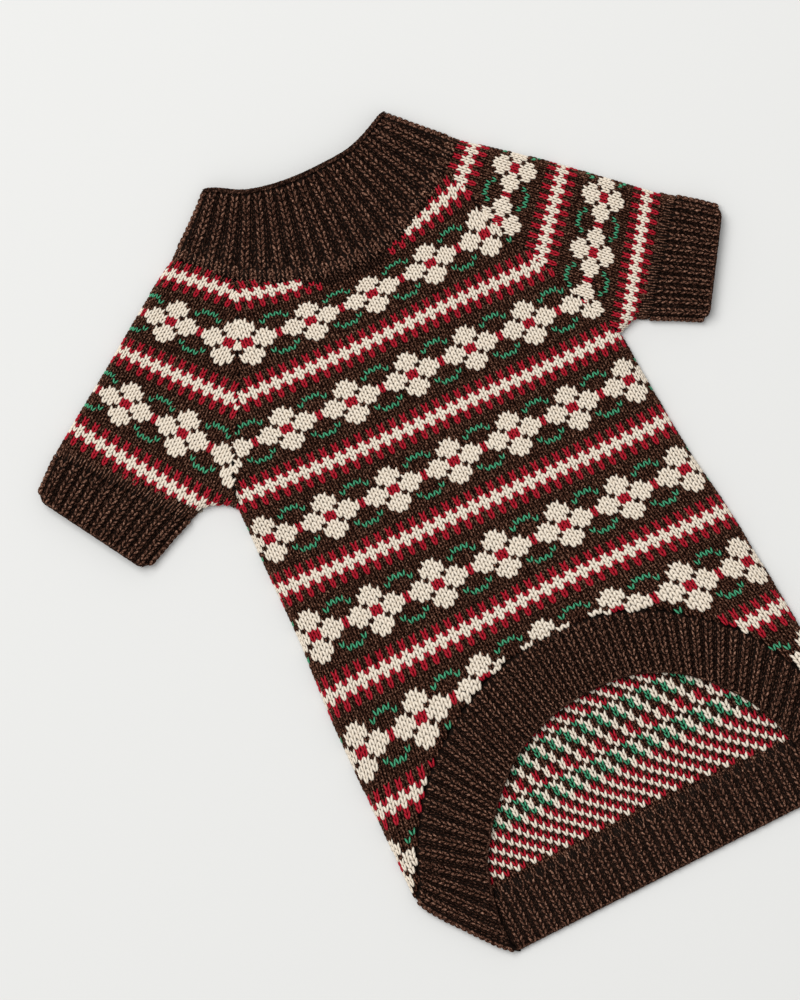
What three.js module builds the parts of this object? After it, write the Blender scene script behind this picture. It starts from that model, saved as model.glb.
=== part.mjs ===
// Knitted dog sweater laid flat on a surface, chest side up.
// Millimetres. X runs across the garment, Y from hem to neck, Z up from the surface.
// The chest panel is cut short in an arch, so the inside of the longer back panel shows below it.

import * as THREE from 'three';

// The cloth, and how its two layers lie on each other.
const WALL = 2.2;
const SEAM_GAP = 0.3;
const LOFT = 6.8;
const FOLD_WIDTH = 7;
const RIB_HEIGHT = 0.8;
const BACK_INSET = 4.6;
const HEM_INSET = 7.6;
const HEM_LOFT = WALL + RIB_HEIGHT + SEAM_GAP + WALL;

// Ribs that show on each ribbed piece.
const COLLAR_RIBS = 17;
const CUFF_RIBS = 10;
const CHEST_BAND_RIBS = 48;
const BACK_BAND_RIBS = 35;
// Ribs counted along the chest band, by share of its mean length: they stand closer at the middle.
const CHEST_BAND_COUNT = [
  { place: 0, ribs: 0 },
  { place: 0.2, ribs: 8.4 },
  { place: 0.3, ribs: 13.2 },
  { place: 0.4, ribs: 18.9 },
  { place: 0.5, ribs: 25.2 },
  { place: 0.6, ribs: 31.1 },
  { place: 0.7, ribs: 36.5 },
  { place: 0.8, ribs: 41.4 },
  { place: 1, ribs: 49.6 },
];

// Finish of each piece.
const COLOURS = { pattern: 0x4a3329, rib: 0x2e2019 };
const ROUGHNESS = 0.9;

// Every plan point below is measured from the middle of the neck's top edge.
// The body's folded side edges, from the underarm to the corner above the hem band.
const LEFT_SIDE = [
  { x: -100.5, y: -142 },
  { x: -101.8, y: -172 },
  { x: -103.2, y: -210 },
  { x: -106.4, y: -245 },
  { x: -108.2, y: -282 },
  { x: -109.2, y: -318 },
  { x: -110.5, y: -346 },
];
const RIGHT_SIDE = [
  { x: 100.5, y: -149.6 },
  { x: 101.7, y: -176 },
  { x: 103.9, y: -212 },
  { x: 108.1, y: -246 },
  { x: 110.9, y: -280 },
  { x: 113.2, y: -314 },
  { x: 114.8, y: -346 },
];

// Where the hem's ribbed ring is folded, from the chest band to the back band.
const LEFT_HEM_FOLD = [
  { x: -110.5, y: -346 },
  { x: -108.4, y: -352 },
  { x: -103.3, y: -360.4 },
  { x: -95.6, y: -371 },
  { x: -90, y: -378.5 },
  { x: -84.8, y: -385.2 },
  { x: -79.3, y: -390.7 },
];
const RIGHT_HEM_FOLD = [
  { x: 114.8, y: -346 },
  { x: 112.9, y: -352 },
  { x: 108, y: -360.4 },
  { x: 100.6, y: -371 },
  { x: 95.2, y: -378.5 },
  { x: 90.2, y: -385.2 },
  { x: 84.8, y: -390.7 },
];

// The seam under the collar, from the left fold to the right fold.
const NECK_SEAM = [
  { x: -73.8, y: -20 },
  { x: -64.4, y: -30.2 },
  { x: -52.5, y: -42.5 },
  { x: -41.6, y: -49.9 },
  { x: -23.6, y: -58 },
  { x: -9.5, y: -62.4 },
  { x: 6.2, y: -64 },
  { x: 17.8, y: -62.8 },
  { x: 30.7, y: -59.3 },
  { x: 45.1, y: -52.4 },
  { x: 62.5, y: -41.3 },
  { x: 73.6, y: -32 },
];
const LEFT_RAGLAN_TOP = 2;
const RIGHT_RAGLAN_TOP = 10;

// The collar's top edge and its two folded ends.
const COLLAR_TOP = [
  { x: -45.5, y: 3 },
  { x: -38.6, y: -0.8 },
  { x: -29.5, y: -6.2 },
  { x: -18, y: -9.6 },
  { x: -5.2, y: -11.5 },
  { x: 9, y: -12 },
  { x: 24, y: -11.4 },
  { x: 35, y: -8.2 },
  { x: 46.6, y: -3 },
];
const COLLAR_LEFT_FOLD = [
  { x: -45.5, y: 3 },
  { x: -56.7, y: -6.7 },
  { x: -67, y: -14.6 },
  { x: -73.8, y: -20 },
];
const COLLAR_RIGHT_FOLD = [
  { x: 46.6, y: -3 },
  { x: 58.3, y: -15.7 },
  { x: 67.6, y: -25.6 },
  { x: 73.6, y: -32 },
];

// The raglan seams, from the neck to the underarm.
const LEFT_RAGLAN = [
  { x: -52.5, y: -42.5 },
  { x: -56.5, y: -51 },
  { x: -64.9, y: -71 },
  { x: -78, y: -97 },
  { x: -91.5, y: -119 },
  { x: -98, y: -132 },
  { x: -100.5, y: -142 },
];
const RIGHT_RAGLAN = [
  { x: 62.5, y: -41.3 },
  { x: 65.1, y: -53 },
  { x: 71.3, y: -78 },
  { x: 82, y: -102 },
  { x: 92.4, y: -128 },
  { x: 98, y: -142 },
  { x: 100.5, y: -149.6 },
];

// Sections along each sleeve, from the raglan to the cuff: its shoulder fold and its lower fold.
const LEFT_SLEEVE = [
  { upperX: -73.8, upperY: -20, lowerX: -100.5, lowerY: -142 },
  { upperX: -95.1, upperY: -32.4, lowerX: -104, lowerY: -138.2 },
  { upperX: -129.2, upperY: -54.4, lowerX: -109, lowerY: -135.2 },
  { upperX: -150, upperY: -67.2, lowerX: -114, lowerY: -134 },
  { upperX: -163.7, upperY: -76, lowerX: -118.6, lowerY: -133.9 },
];
const RIGHT_SLEEVE = [
  { upperX: 73.6, upperY: -32, lowerX: 100.5, lowerY: -149.6 },
  { upperX: 100.5, upperY: -54.4, lowerX: 103.2, lowerY: -148.6 },
  { upperX: 120.3, upperY: -72.6, lowerX: 106.2, lowerY: -147.8 },
  { upperX: 137, upperY: -87.9, lowerX: 108.8, lowerY: -147.3 },
  { upperX: 150.8, upperY: -100.5, lowerX: 111.4, lowerY: -147.2 },
];
const LEFT_CUFF = [
  { upperX: -163.7, upperY: -76, lowerX: -118.6, lowerY: -133.9 },
  { upperX: -174.2, upperY: -84.2, lowerX: -135.9, lowerY: -140.2 },
  { upperX: -184.6, upperY: -92.7, lowerX: -153.6, lowerY: -147.8 },
];
const RIGHT_CUFF = [
  { upperX: 150.8, upperY: -100.5, lowerX: 111.4, lowerY: -147.2 },
  { upperX: 161.2, upperY: -108.8, lowerX: 126, lowerY: -154.9 },
  { upperX: 171.4, upperY: -117.6, lowerX: 140.8, lowerY: -163.4 },
];

// The chest's ribbed band: each row runs along one rib, from its seam to the band's free edge.
const CHEST_BAND = [
  { seamX: -110.5, seamY: -346, freeX: -79.3, freeY: -390.7 },
  { seamX: -105.4, seamY: -341.2, freeX: -79, freeY: -375 },
  { seamX: -99.8, seamY: -327.5, freeX: -72.6, freeY: -349.4 },
  { seamX: -88.8, seamY: -310, freeX: -64.7, freeY: -336.3 },
  { seamX: -80.2, seamY: -300, freeX: -58.6, freeY: -328.6 },
  { seamX: -69, seamY: -289.4, freeX: -51.6, freeY: -321 },
  { seamX: -52, seamY: -278.2, freeX: -40.4, freeY: -311 },
  { seamX: -38, seamY: -271, freeX: -29.7, freeY: -304.2 },
  { seamX: -19.2, seamY: -265, freeX: -12.7, freeY: -298.1 },
  { seamX: 6, seamY: -262.3, freeX: 6.4, freeY: -295.5 },
  { seamX: 29.8, seamY: -265.2, freeX: 27, freeY: -296.7 },
  { seamX: 48, seamY: -271.6, freeX: 42.2, freeY: -302 },
  { seamX: 59.1, seamY: -277.8, freeX: 51, freeY: -307.1 },
  { seamX: 68.2, seamY: -284.8, freeX: 57.8, freeY: -312.4 },
  { seamX: 81, seamY: -296, freeX: 66.9, freeY: -322.2 },
  { seamX: 92.6, seamY: -309.6, freeX: 75.6, freeY: -334.4 },
  { seamX: 101.5, seamY: -327.5, freeX: 82, freeY: -348.6 },
  { seamX: 109, seamY: -341.6, freeX: 87, freeY: -370 },
  { seamX: 114.8, seamY: -346, freeX: 84.8, freeY: -390.7 },
];
const HEM_SEAM_Y = -359;
// The back band's shortest rib, at its pointed ends.
const SHORTEST_RIB = 2;

// Soft folds of the upper layer: each lies along a line and falls away over its half width.
const FOLDS = [
  { fromX: -90, fromY: -143, toX: -46, toY: -119, halfWidth: 9, height: 0.9 },
  { fromX: 91, fromY: -149, toX: 50, toY: -122, halfWidth: 9, height: 0.8 },
  { fromX: -84, fromY: -170, toX: -60, toY: -238, halfWidth: 12, height: -0.7 },
  { fromX: 88, fromY: -178, toX: 72, toY: -246, halfWidth: 12, height: -0.6 },
  { fromX: -34, fromY: -84, toX: 48, toY: -86, halfWidth: 13, height: 0.7 },
  { fromX: -18, fromY: -140, toX: 20, toY: -236, halfWidth: 27, height: 0.9 },
  { fromX: -86, fromY: -262, toX: -58, toY: -266, halfWidth: 12, height: 0.6 },
  { fromX: 84, fromY: -272, toX: 60, toY: -258, halfWidth: 12, height: 0.5 },
  { fromX: -96, fromY: -58, toX: -112, toY: -104, halfWidth: 12, height: 0.8 },
  { fromX: 104, fromY: -82, toX: 104, toY: -122, halfWidth: 12, height: 0.8 },
];

// Rows and columns of the walls.
const CURVE_STEPS = 6;
const FOLD_STEPS = 3;
const RAGLAN_COLUMNS = 16;
const NECK_COLUMNS = 18;
const CHEST_ROWS = 13;
const BACK_ROWS = 5;
const BAND_ROWS = 3;
const SLEEVE_COLUMNS = 20;
const SLEEVE_ROWS = 6;
const LOWER_COLUMNS = 24;
// Rows of the chest band's table over which the bow of a folded end fades.
const BOW_REACH = 2;
// Rounded corners of a cuff's open end: how far in from the fold, and how far back.
const CORNER_REACH = 5;
const CORNER_DROP = 2;

function lerp(a, b, share) {
  return a + (b - a) * share;
}

function mix(p, q, share) {
  return { x: lerp(p.x, q.x, share), y: lerp(p.y, q.y, share) };
}

function distance(p, q) {
  return Math.hypot(q.x - p.x, q.y - p.y);
}

// A smooth path through a table's rows.
function smoothPath(rows) {
  const curve = new THREE.SplineCurve(rows.map((row) => new THREE.Vector2(row.x, row.y)));
  return curve.getPoints((rows.length - 1) * CURVE_STEPS);
}

// The same path moved sideways; a positive offset moves it to the left of its direction.
function offsetPath(path, offset) {
  return path.map((point, k) => {
    const before = path[Math.max(k - 1, 0)];
    const after = path[Math.min(k + 1, path.length - 1)];
    const length = distance(before, after);
    const across = { x: -(after.y - before.y) / length, y: (after.x - before.x) / length };
    return { x: point.x + across.x * offset, y: point.y + across.y * offset };
  });
}

// The point at a share of a path's length.
function pointAt(path, share) {
  const steps = path.slice(1).map((point, k) => distance(path[k], point));
  let left = share * steps.reduce((sum, step) => sum + step, 0);
  for (let k = 0; k < steps.length; k += 1) {
    if (left <= steps[k] || k === steps.length - 1) {
      return mix(path[k], path[k + 1], left / steps[k]);
    }
    left -= steps[k];
  }
  return path[0];
}

// One coordinate of a path where its other coordinate has a given value.
function readPath(path, known, value, wanted) {
  for (let k = 0; k < path.length - 1; k += 1) {
    const a = path[k];
    const b = path[k + 1];
    if ((value - a[known]) * (value - b[known]) <= 0 && a[known] !== b[known]) {
      return lerp(a[wanted], b[wanted], (value - a[known]) / (b[known] - a[known]));
    }
  }
  const nearStart = Math.abs(value - path[0][known]) < Math.abs(value - path[path.length - 1][known]);
  return nearStart ? path[0][wanted] : path[path.length - 1][wanted];
}

// Height of the upper layer's outer face, away from the folded edges.
function loftAt(x, y) {
  let height = LOFT;
  for (const fold of FOLDS) {
    const along = { x: fold.toX - fold.fromX, y: fold.toY - fold.fromY };
    const length = Math.hypot(along.x, along.y);
    const reach = ((x - fold.fromX) * along.x + (y - fold.fromY) * along.y) / (length * length);
    const near = Math.min(Math.max(reach, 0), 1);
    const gap = Math.hypot(x - fold.fromX - along.x * near, y - fold.fromY - along.y * near);
    height += fold.height * Math.exp(-((gap / fold.halfWidth) ** 2));
  }
  return height;
}

// Quarter-round columns of a folded edge: distance in from the edge and share of the height.
function foldColumns(wallInset) {
  const columns = [];
  for (let k = 0; k < FOLD_STEPS; k += 1) {
    const angle = (k / FOLD_STEPS) * (Math.PI / 2);
    const inset = wallInset + (FOLD_WIDTH - wallInset) * (1 - Math.cos(angle));
    columns.push({ inset, rise: Math.sin(angle) });
  }
  return columns;
}

// A closed wall between an outer and an inner grid of points, each grid a list of columns.
function wallMesh(name, colour, outer, inner, closed) {
  const columns = outer.length;
  const rows = outer[0].length;
  const positions = [];
  const faces = [];
  for (const grid of [outer, inner]) {
    grid.forEach((column) => column.forEach((point) => positions.push(point.x, point.y, point.z)));
  }
  const vertex = (layer, i, j) => layer * columns * rows + (i % columns) * rows + j;
  const quad = (a, b, c, d) => faces.push(a, b, c, a, c, d);
  const spans = closed ? columns : columns - 1;
  for (let i = 0; i < spans; i += 1) {
    for (let j = 0; j < rows - 1; j += 1) {
      quad(vertex(0, i, j), vertex(0, i, j + 1), vertex(0, i + 1, j + 1), vertex(0, i + 1, j));
      quad(vertex(1, i, j), vertex(1, i + 1, j), vertex(1, i + 1, j + 1), vertex(1, i, j + 1));
    }
    quad(vertex(0, i, 0), vertex(0, i + 1, 0), vertex(1, i + 1, 0), vertex(1, i, 0));
    const end = rows - 1;
    quad(vertex(0, i, end), vertex(1, i, end), vertex(1, i + 1, end), vertex(0, i + 1, end));
  }
  if (!closed) {
    const last = columns - 1;
    for (let j = 0; j < rows - 1; j += 1) {
      quad(vertex(0, 0, j), vertex(1, 0, j), vertex(1, 0, j + 1), vertex(0, 0, j + 1));
      quad(vertex(0, last, j), vertex(0, last, j + 1), vertex(1, last, j + 1), vertex(1, last, j));
    }
  }
  const geometry = new THREE.BufferGeometry();
  geometry.setAttribute('position', new THREE.Float32BufferAttribute(positions, 3));
  geometry.setIndex(faces);
  geometry.computeVertexNormals();
  const material = new THREE.MeshStandardMaterial({ color: colour, roughness: ROUGHNESS });
  const mesh = new THREE.Mesh(geometry, material);
  mesh.name = name;
  return mesh;
}

// Shared seam and edge paths.
const neckSeam = smoothPath(NECK_SEAM);
const neckLeft = neckSeam.slice(0, LEFT_RAGLAN_TOP * CURVE_STEPS + 1);
const neckMiddle = neckSeam.slice(LEFT_RAGLAN_TOP * CURVE_STEPS, RIGHT_RAGLAN_TOP * CURVE_STEPS + 1);
const neckRight = neckSeam.slice(RIGHT_RAGLAN_TOP * CURVE_STEPS);
const leftRaglan = smoothPath(LEFT_RAGLAN);
const rightRaglan = smoothPath(RIGHT_RAGLAN);
const leftHemFold = smoothPath(LEFT_HEM_FOLD);
const rightHemFold = smoothPath(RIGHT_HEM_FOLD);
const leftSide = [...smoothPath(LEFT_SIDE), ...leftHemFold.slice(1)];
const rightSide = [...smoothPath(RIGHT_SIDE), ...rightHemFold.slice(1)];
const bodyTop = [...[...leftRaglan].reverse(), ...neckMiddle.slice(1, -1), ...rightRaglan];
const bodyTopEdge = offsetPath(bodyTop, -SEAM_GAP / 2);
const chestBandSeam = smoothPath(CHEST_BAND.map((row) => ({ x: row.seamX, y: row.seamY })));
const chestBandFree = smoothPath(CHEST_BAND.map((row) => ({ x: row.freeX, y: row.freeY })));

// Columns across the body between two insets from its sides, each a share of the width there.
// They start at even steps along the raglans and the neck.
function topColumns(sideInset) {
  const steps = (path, count) => Array.from({ length: count }, (_, k) => pointAt(path, k / count).x);
  const starts = [
    ...steps([...leftRaglan].reverse(), RAGLAN_COLUMNS),
    ...steps(neckMiddle, NECK_COLUMNS),
    ...steps(rightRaglan, RAGLAN_COLUMNS),
  ];
  const left = LEFT_SIDE[0].x + sideInset;
  const right = RIGHT_SIDE[0].x - sideInset;
  const inside = starts.filter((x) => x > left + SEAM_GAP && x < right - SEAM_GAP);
  return [left, ...inside, right].map((x) => ({ share: (x - left) / (right - left), sideInset, rise: 1 }));
}

// Where a body column lies at a height on the garment.
function columnX(column, y) {
  const left = readPath(leftSide, 'y', y, 'x');
  const right = readPath(rightSide, 'y', y, 'x');
  if (column.side === 'left') {
    return left + column.inset;
  }
  if (column.side === 'right') {
    return right - column.inset;
  }
  return lerp(left + column.sideInset, right - column.sideInset, column.share);
}

// Where a body column meets a path that crosses the body.
function crossingY(column, path, guess) {
  let y = guess;
  for (let step = 0; step < 12; step += 1) {
    y = readPath(path, 'x', columnX(column, y), 'y');
  }
  return y;
}

// The chest panel: the upper layer, from the neck and raglan seams down to the arched band.
function chestPanel() {
  const archEdge = offsetPath(chestBandSeam, SEAM_GAP / 2);
  const layer = (wallInset, wallDrop) => {
    const left = foldColumns(wallInset).map((fold) => ({ side: 'left', ...fold }));
    const right = foldColumns(wallInset).map((fold) => ({ side: 'right', ...fold })).reverse();
    return [...left, ...topColumns(FOLD_WIDTH), ...right].map((column) => {
      const top = crossingY(column, bodyTopEdge, LEFT_SIDE[0].y);
      const bottom = crossingY(column, archEdge, CHEST_BAND[0].seamY);
      return Array.from({ length: CHEST_ROWS + 1 }, (_, j) => {
        const y = lerp(top, bottom, j / CHEST_ROWS);
        const x = columnX(column, y);
        return new THREE.Vector3(x, y, (loftAt(x, y) - wallDrop) * column.rise);
      });
    });
  };
  return wallMesh('chest_panel', COLOURS.pattern, layer(0, 0), layer(WALL, WALL), false);
}

// The back panel: the lower layer, flat on the surface, down to the hem band.
function backPanel() {
  const levels = Array.from({ length: BACK_ROWS + 1 }, (_, j) => {
    const underarm = RIGHT_SIDE[0].y - FOLD_WIDTH;
    return lerp(underarm, CHEST_BAND[0].seamY, j / BACK_ROWS);
  });
  levels.push(HEM_SEAM_Y + SEAM_GAP / 2);
  const layer = (z) => topColumns(BACK_INSET).map((column) => {
    const top = crossingY(column, bodyTopEdge, LEFT_SIDE[0].y);
    return [top, ...levels].map((y) => new THREE.Vector3(columnX(column, y), y, z));
  });
  return wallMesh('back_panel', COLOURS.pattern, layer(WALL), layer(0), false);
}

// The back hem band: upright ribs, shorter along the folds at its two ends.
function backHemBand() {
  const top = HEM_SEAM_Y - SEAM_GAP / 2;
  const leftEnd = leftHemFold.map((point) => ({ x: point.x + HEM_INSET, y: point.y }));
  const rightEnd = rightHemFold.map((point) => ({ x: point.x - HEM_INSET, y: point.y }));
  const left = readPath(leftEnd, 'y', top - SHORTEST_RIB, 'x');
  const right = readPath(rightEnd, 'y', top - SHORTEST_RIB, 'x');
  const columns = BACK_BAND_RIBS * 2;
  const layer = (z, rib) => Array.from({ length: columns + 1 }, (_, i) => {
    const x = lerp(left, right, i / columns);
    const bottom = Math.max(readPath(leftEnd, 'x', x, 'y'), readPath(rightEnd, 'x', x, 'y'));
    return Array.from({ length: BAND_ROWS + 1 }, (_, j) => {
      const y = lerp(top, bottom, j / BAND_ROWS);
      const fromEnd = Math.min(x - readPath(leftEnd, 'y', y, 'x'), readPath(rightEnd, 'y', y, 'x') - x);
      const raised = i % 2 === 1 ? rib * Math.min(Math.max(fromEnd / HEM_INSET, 0), 1) : 0;
      return new THREE.Vector3(x, y, z + raised);
    });
  });
  return wallMesh('back_hem_band', COLOURS.rib, layer(WALL, RIB_HEIGHT), layer(0, 0), false);
}

// Places along the chest band, as steps of its smooth paths, evenly spaced by its count of ribs.
function bandStations(count, from, to) {
  const lengths = [0];
  for (let k = 1; k < chestBandSeam.length; k += 1) {
    const seamStep = distance(chestBandSeam[k - 1], chestBandSeam[k]);
    const freeStep = distance(chestBandFree[k - 1], chestBandFree[k]);
    lengths.push(lengths[k - 1] + (seamStep + freeStep) / 2);
  }
  const whole = lengths[lengths.length - 1];
  const counted = lengths.map((length) => readPath(CHEST_BAND_COUNT, 'place', length / whole, 'ribs'));
  return Array.from({ length: count + 1 }, (_, k) => {
    const wanted = lerp(counted[from], counted[to], k / count);
    let index = 1;
    while (index < counted.length - 1 && counted[index] < wanted) {
      index += 1;
    }
    return index - 1 + (wanted - counted[index - 1]) / (counted[index] - counted[index - 1]);
  });
}

function pathPoint(path, station) {
  const index = Math.min(Math.floor(station), path.length - 2);
  return mix(path[index], path[index + 1], station - index);
}

// How far a folded end of the chest band bows out from the straight line between its corners.
function bowOf(fold, share) {
  const point = pointAt(fold, share);
  const straight = mix(fold[0], fold[fold.length - 1], share);
  return { x: point.x - straight.x, y: point.y - straight.y };
}

// The chest's ribbed band: an arch of the upper layer whose ends fold round at the hem's corners.
function chestHemBand() {
  const seamEdge = offsetPath(chestBandSeam, -SEAM_GAP / 2);
  const lastStation = chestBandSeam.length - 1;
  const fade = BOW_REACH * CURVE_STEPS;
  const between = bandStations(CHEST_BAND_RIBS * 2, CURVE_STEPS, lastStation - CURVE_STEPS);
  const layer = (wallInset, wallDrop, rib) => {
    const folded = foldColumns(wallInset);
    const columns = folded.map((fold) => ({
      station: (fold.inset / FOLD_WIDTH) * CURVE_STEPS, rise: fold.rise, raised: 0,
    }));
    between.forEach((station, k) => columns.push({ station, rise: 1, raised: k % 2 === 1 ? rib : 0 }));
    folded.reverse();
    folded.forEach((fold) => columns.push({
      station: lastStation - (fold.inset / FOLD_WIDTH) * CURVE_STEPS, rise: fold.rise, raised: 0,
    }));
    return columns.map((column) => {
      const seam = pathPoint(seamEdge, column.station);
      const free = pathPoint(chestBandFree, column.station);
      const nearLeft = Math.max(1 - column.station / fade, 0) ** 2;
      const nearRight = Math.max(1 - (lastStation - column.station) / fade, 0) ** 2;
      return Array.from({ length: BAND_ROWS + 1 }, (_, j) => {
        const share = j / BAND_ROWS;
        const leftBow = bowOf(leftHemFold, share);
        const rightBow = bowOf(rightHemFold, share);
        const point = mix(seam, free, share);
        point.x += leftBow.x * nearLeft + rightBow.x * nearRight;
        point.y += leftBow.y * nearLeft + rightBow.y * nearRight;
        const height = lerp(loftAt(point.x, point.y), HEM_LOFT, share) - wallDrop + column.raised;
        return new THREE.Vector3(point.x, point.y, height * column.rise);
      });
    });
  };
  return wallMesh('chest_hem_band', COLOURS.rib, layer(0, 0, RIB_HEIGHT), layer(WALL, WALL, 0), false);
}

// A flattened tube, open at both ends. planAt gives the plan point at a share of the way from
// the first folded edge to the second, at a row; widthAt gives the tube's flat width there.
function flatTube(name, colour, planAt, widthAt, rows, upperColumns, ribs) {
  const upper = (wallInset) => {
    const folded = foldColumns(wallInset);
    const columns = folded.map((fold) => ({
      side: 'first', inset: fold.inset, rise: fold.rise, raised: 0,
    }));
    for (let k = 0; k <= upperColumns; k += 1) {
      columns.push({ share: k / upperColumns, rise: 1, raised: ribs && k % 2 === 1 ? RIB_HEIGHT : 0 });
    }
    folded.reverse();
    return columns.concat(folded.map((fold) => ({
      side: 'second', inset: fold.inset, rise: fold.rise, raised: 0,
    })));
  };
  const shareOf = (column, row) => {
    const margin = FOLD_WIDTH / widthAt(row);
    if (!column.side) {
      return lerp(margin, 1 - margin, column.share);
    }
    const inset = column.inset / widthAt(row);
    return column.side === 'second' ? 1 - inset : inset;
  };
  const point = (share, row, z) => {
    const plan = planAt(share, row);
    return new THREE.Vector3(plan.x, plan.y, z(plan.x, plan.y));
  };
  const rowList = Array.from({ length: rows + 1 }, (_, j) => j / rows);
  const outer = upper(0).map((column) => rowList.map((row) => point(shareOf(column, row), row,
    (x, y) => (loftAt(x, y) + column.raised) * column.rise)));
  const inner = upper(WALL).map((column) => rowList.map((row) => point(shareOf(column, row), row,
    (x, y) => lerp(WALL, loftAt(x, y) - WALL, column.rise))));
  for (let k = LOWER_COLUMNS - 1; k > 0; k -= 1) {
    outer.push(rowList.map((row) => point(k / LOWER_COLUMNS, row, () => 0)));
    inner.push(rowList.map((row) => {
      const margin = WALL / widthAt(row);
      return point(lerp(margin, 1 - margin, k / LOWER_COLUMNS), row, () => WALL);
    }));
  }
  return wallMesh(name, colour, outer, inner, true);
}

// A sleeve or cuff: sections between its two folds, its first row bent to the seam it meets.
// Sections run from the shoulder fold on the left side and from the lower fold on the right.
// An end without a gap is an open one, its corners rounded.
function sectionPlan(table, firstEdge, startGap, endGap) {
  const upper = smoothPath(table.map((row) => ({ x: row.upperX, y: row.upperY })));
  const lower = smoothPath(table.map((row) => ({ x: row.lowerX, y: row.lowerY })));
  const [first, second] = table[0].upperX < 0 ? [upper, lower] : [lower, upper];
  const trim = (row) => {
    const length = distance(upper[0], upper[upper.length - 1]);
    return lerp(startGap / length, 1 - endGap / length, row);
  };
  const openWidth = distance(upper[upper.length - 1], lower[lower.length - 1]);
  const cornerDrop = endGap === 0 ? CORNER_DROP / distance(upper[0], upper[upper.length - 1]) : 0;
  const chord = (share, row) => {
    const near = Math.max(1 - (Math.min(share, 1 - share) * openWidth) / CORNER_REACH, 0);
    const reach = trim(row * (1 - cornerDrop * near * near));
    return mix(pointAt(first, reach), pointAt(second, reach), share);
  };
  const planAt = (share, row) => {
    const straight = chord(share, row);
    if (!firstEdge) {
      return straight;
    }
    const bent = pointAt(firstEdge, share);
    const start = chord(share, 0);
    return {
      x: straight.x + (bent.x - start.x) * (1 - row),
      y: straight.y + (bent.y - start.y) * (1 - row),
    };
  };
  const widthAt = (row) => distance(planAt(0, row), planAt(1, row));
  return { planAt, widthAt };
}

function sleeve(name, table, seam) {
  const firstEdge = offsetPath(seam, -SEAM_GAP / 2);
  const plan = sectionPlan(table, firstEdge, 0, SEAM_GAP / 2);
  return flatTube(name, COLOURS.pattern, plan.planAt, plan.widthAt, SLEEVE_ROWS, SLEEVE_COLUMNS, false);
}

function cuff(name, table) {
  const plan = sectionPlan(table, null, SEAM_GAP / 2, 0);
  return flatTube(name, COLOURS.rib, plan.planAt, plan.widthAt, BAND_ROWS, CUFF_RIBS * 2, true);
}

// The collar: a flattened ribbed tube, its ribs fanning out from the top edge to the neck seam.
function collar() {
  const top = smoothPath(COLLAR_TOP);
  const base = offsetPath(neckSeam, SEAM_GAP / 2);
  const leftFold = smoothPath(COLLAR_LEFT_FOLD);
  const rightFold = smoothPath(COLLAR_RIGHT_FOLD);
  leftFold[leftFold.length - 1] = base[0];
  rightFold[rightFold.length - 1] = base[base.length - 1];
  const planAt = (share, row) => {
    const between = mix(pointAt(top, share), pointAt(base, share), row);
    const across = mix(pointAt(leftFold, row), pointAt(rightFold, row), share);
    const topChord = mix(top[0], top[top.length - 1], share);
    const baseChord = mix(base[0], base[base.length - 1], share);
    const corners = mix(topChord, baseChord, row);
    return { x: between.x + across.x - corners.x, y: between.y + across.y - corners.y };
  };
  const widthAt = (row) => distance(planAt(0, row), planAt(1, row));
  return flatTube('collar', COLOURS.rib, planAt, widthAt, BAND_ROWS + 1, COLLAR_RIBS * 2, true);
}

const leftSleeveSeam = [...neckLeft, ...leftRaglan.slice(1)];
const rightSleeveSeam = [...[...rightRaglan].reverse(), ...neckRight.slice(1)];

const sweater = new THREE.Group();
sweater.add(
  chestPanel(),
  backPanel(),
  chestHemBand(),
  backHemBand(),
  collar(),
  sleeve('left_sleeve', LEFT_SLEEVE, leftSleeveSeam),
  sleeve('right_sleeve', RIGHT_SLEEVE, rightSleeveSeam),
  cuff('left_cuff', LEFT_CUFF),
  cuff('right_cuff', RIGHT_CUFF),
);

// The origin is the middle of the rectangle that the garment covers, on the surface.
const extent = new THREE.Box3().setFromObject(sweater);
const middle = extent.getCenter(new THREE.Vector3());
sweater.position.set(-middle.x, -middle.y, 0);

export default sweater;
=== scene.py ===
"""Dog sweater laid flat, chest side up: thin cloth shells dressed with yarn stitches.

Plan sizes are in millimetres from the middle of the neck's top edge, as in the solids:
X across the garment, Y from hem to neck, Z up. Meshes are made in metres.
"""

import math

import bpy
import numpy as np
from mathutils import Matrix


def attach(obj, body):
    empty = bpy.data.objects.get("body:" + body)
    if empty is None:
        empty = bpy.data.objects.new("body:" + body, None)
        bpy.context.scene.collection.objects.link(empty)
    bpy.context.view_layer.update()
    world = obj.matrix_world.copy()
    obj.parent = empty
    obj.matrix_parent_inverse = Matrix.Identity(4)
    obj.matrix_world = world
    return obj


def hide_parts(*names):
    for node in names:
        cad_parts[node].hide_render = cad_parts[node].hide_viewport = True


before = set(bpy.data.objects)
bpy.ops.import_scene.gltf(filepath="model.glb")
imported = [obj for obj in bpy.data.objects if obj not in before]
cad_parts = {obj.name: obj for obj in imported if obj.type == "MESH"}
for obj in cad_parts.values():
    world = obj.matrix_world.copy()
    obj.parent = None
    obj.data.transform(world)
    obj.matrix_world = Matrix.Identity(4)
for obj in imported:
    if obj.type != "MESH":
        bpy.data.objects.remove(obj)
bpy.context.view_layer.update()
RANDOM = np.random.default_rng(7)

MM = 0.001
# From the middle of the neck's top edge to the middle of the garment.
SHIFT_X, SHIFT_Y = 6.6, 193.85

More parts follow.
